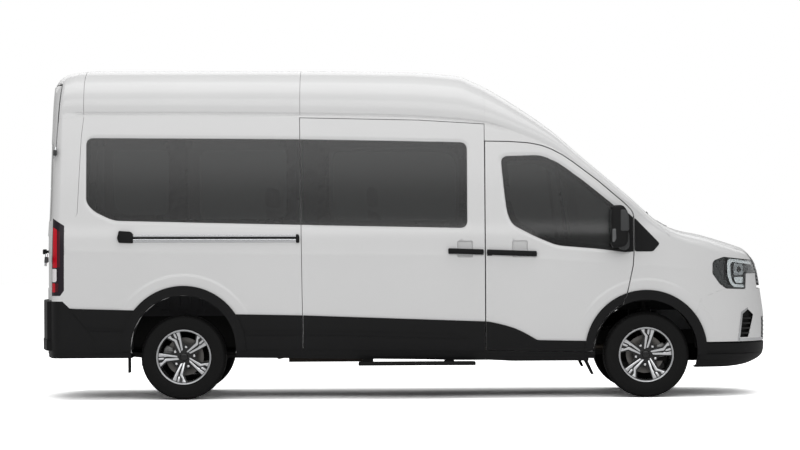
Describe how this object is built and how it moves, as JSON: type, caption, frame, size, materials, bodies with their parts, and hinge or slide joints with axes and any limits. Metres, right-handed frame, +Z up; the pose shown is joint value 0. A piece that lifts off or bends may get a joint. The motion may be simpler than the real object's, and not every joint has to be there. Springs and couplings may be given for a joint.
{
  "type": "minibus",
  "caption": "High-roof minibus with a raked nose, glazed sides, a sliding side door, rows of seats, steered front wheels, and a bonnet, front doors and split rear doors that open.",
  "frame": {"origin": "on the ground under the middle of the vehicle, halfway along its length and on its centreline", "axes": "+X towards the front, +Y towards the vehicle's left side, +Z up"},
  "size_m": [5.969, 2.4706, 2.697],
  "materials": {
    "paint_white": "gloss",
    "glass_tinted": "clear",
    "plastic_black": "satin",
    "tyre_rubber": "matte",
    "alloy_silver": "machined",
    "steel_dark": "painted",
    "lamp_clear": "gloss",
    "lamp_red": "gloss",
    "fabric_dark": "woven"
  },
  "bodies": {
    "body": {"body_side_left": "paint_white", "body_side_right": "paint_white", "cab_frame": "paint_white", "cab_seats": "fabric_dark", "dashboard": "plastic_black", "door_rail": "plastic_black", "engine": "steel_dark", "exhaust": "steel_dark", "floor": "steel_dark", "front_bumper": "paint_white", "front_suspension": "steel_dark", "grille": "plastic_black", "headlamp_left": "lamp_clear", "headlamp_right": "lamp_clear", "middle_glass_left": "glass_tinted", "passenger_seats": "fabric_dark", "rear_axle": "steel_dark", "rear_bumper": "plastic_black", "rear_glass_left": "glass_tinted", "rear_glass_right": "glass_tinted", "roof": "paint_white", "side_step": "steel_dark", "sliding_door": "paint_white", "sliding_door_glass": "glass_tinted", "spare_wheel": "tyre_rubber", "steering_wheel": "plastic_black", "tail_lamp_left": "lamp_red", "tail_lamp_right": "lamp_red", "windscreen": "glass_tinted", "wing_left": "paint_white", "wing_right": "paint_white"},
    "bonnet_lid": {"bonnet": "paint_white"},
    "front_door_leaf_right": {"front_door_right": "paint_white", "front_door_glass_right": "glass_tinted", "mirror_right": "plastic_black"},
    "rear_door_leaf_right": {"rear_door_right": "paint_white", "rear_door_glass_right": "glass_tinted"},
    "steered_hub_right": {"knuckle_right": "steel_dark"},
    "front_wheel_right": {"tyre_front_right": "tyre_rubber", "rim_front_right": "alloy_silver"},
    "rear_wheel_right": {"tyre_rear_right": "tyre_rubber", "rim_rear_right": "alloy_silver"},
    "front_door_leaf_left": {"front_door_left": "paint_white", "front_door_glass_left": "glass_tinted", "mirror_left": "plastic_black"},
    "rear_door_leaf_left": {"rear_door_left": "paint_white", "rear_door_glass_left": "glass_tinted"},
    "steered_hub_left": {"knuckle_left": "steel_dark"},
    "front_wheel_left": {"tyre_front_left": "tyre_rubber", "rim_front_left": "alloy_silver"},
    "rear_wheel_left": {"tyre_rear_left": "tyre_rubber", "rim_rear_left": "alloy_silver"}
  },
  "joints": [
    {"name": "bonnet_hinge", "type": "hinge", "parent": "body", "child": "bonnet_lid", "pos_m": [2.2, 0, 1.395], "axis": [0, -1, 0], "range_deg": [0, 52]},
    {"name": "steer_left", "type": "hinge", "parent": "body", "child": "steered_hub_left", "pos_m": [1.9675, 0.755, 0.346], "axis": [0, 0, 1], "range_deg": [-35, 35]},
    {"name": "steer_right", "type": "hinge", "parent": "body", "child": "steered_hub_right", "pos_m": [1.9675, -0.755, 0.346], "axis": [0, 0, 1], "range_deg": [-35, 35]},
    {"name": "front_door_hinge_right", "type": "hinge", "parent": "body", "child": "front_door_leaf_right", "pos_m": [1.852, -1.026, 0.9], "axis": [0, 0, 1], "range_deg": [0, 68]},
    {"name": "rear_door_hinge_right", "type": "hinge", "parent": "body", "child": "rear_door_leaf_right", "pos_m": [-2.888, -1.045, 1.123], "axis": [0.0797, 0.0918, 0.9926], "range_deg": [0, 180]},
    {"name": "front_wheel_spin_right", "type": "hinge", "parent": "steered_hub_right", "child": "front_wheel_right", "pos_m": [1.9675, -0.86, 0.346], "axis": [0, 1, 0], "continuous": true},
    {"name": "rear_wheel_spin_right", "type": "hinge", "parent": "body", "child": "rear_wheel_right", "pos_m": [-1.7825, -0.86, 0.346], "axis": [0, 1, 0], "continuous": true},
    {"name": "front_door_hinge_left", "type": "hinge", "parent": "body", "child": "front_door_leaf_left", "pos_m": [1.852, 1.026, 0.9], "axis": [0, 0, -1], "range_deg": [0, 68]},
    {"name": "rear_door_hinge_left", "type": "hinge", "parent": "body", "child": "rear_door_leaf_left", "pos_m": [-2.888, 1.045, 1.123], "axis": [-0.0797, 0.0918, -0.9926], "range_deg": [0, 180]},
    {"name": "front_wheel_spin_left", "type": "hinge", "parent": "steered_hub_left", "child": "front_wheel_left", "pos_m": [1.9675, 0.86, 0.346], "axis": [0, 1, 0], "continuous": true},
    {"name": "rear_wheel_spin_left", "type": "hinge", "parent": "body", "child": "rear_wheel_left", "pos_m": [-1.7825, 0.86, 0.346], "axis": [0, 1, 0], "continuous": true}
  ],
  "couplings": [
    {"joint": "steer_right", "follows": "steer_left", "ratio": 1}
  ]
}
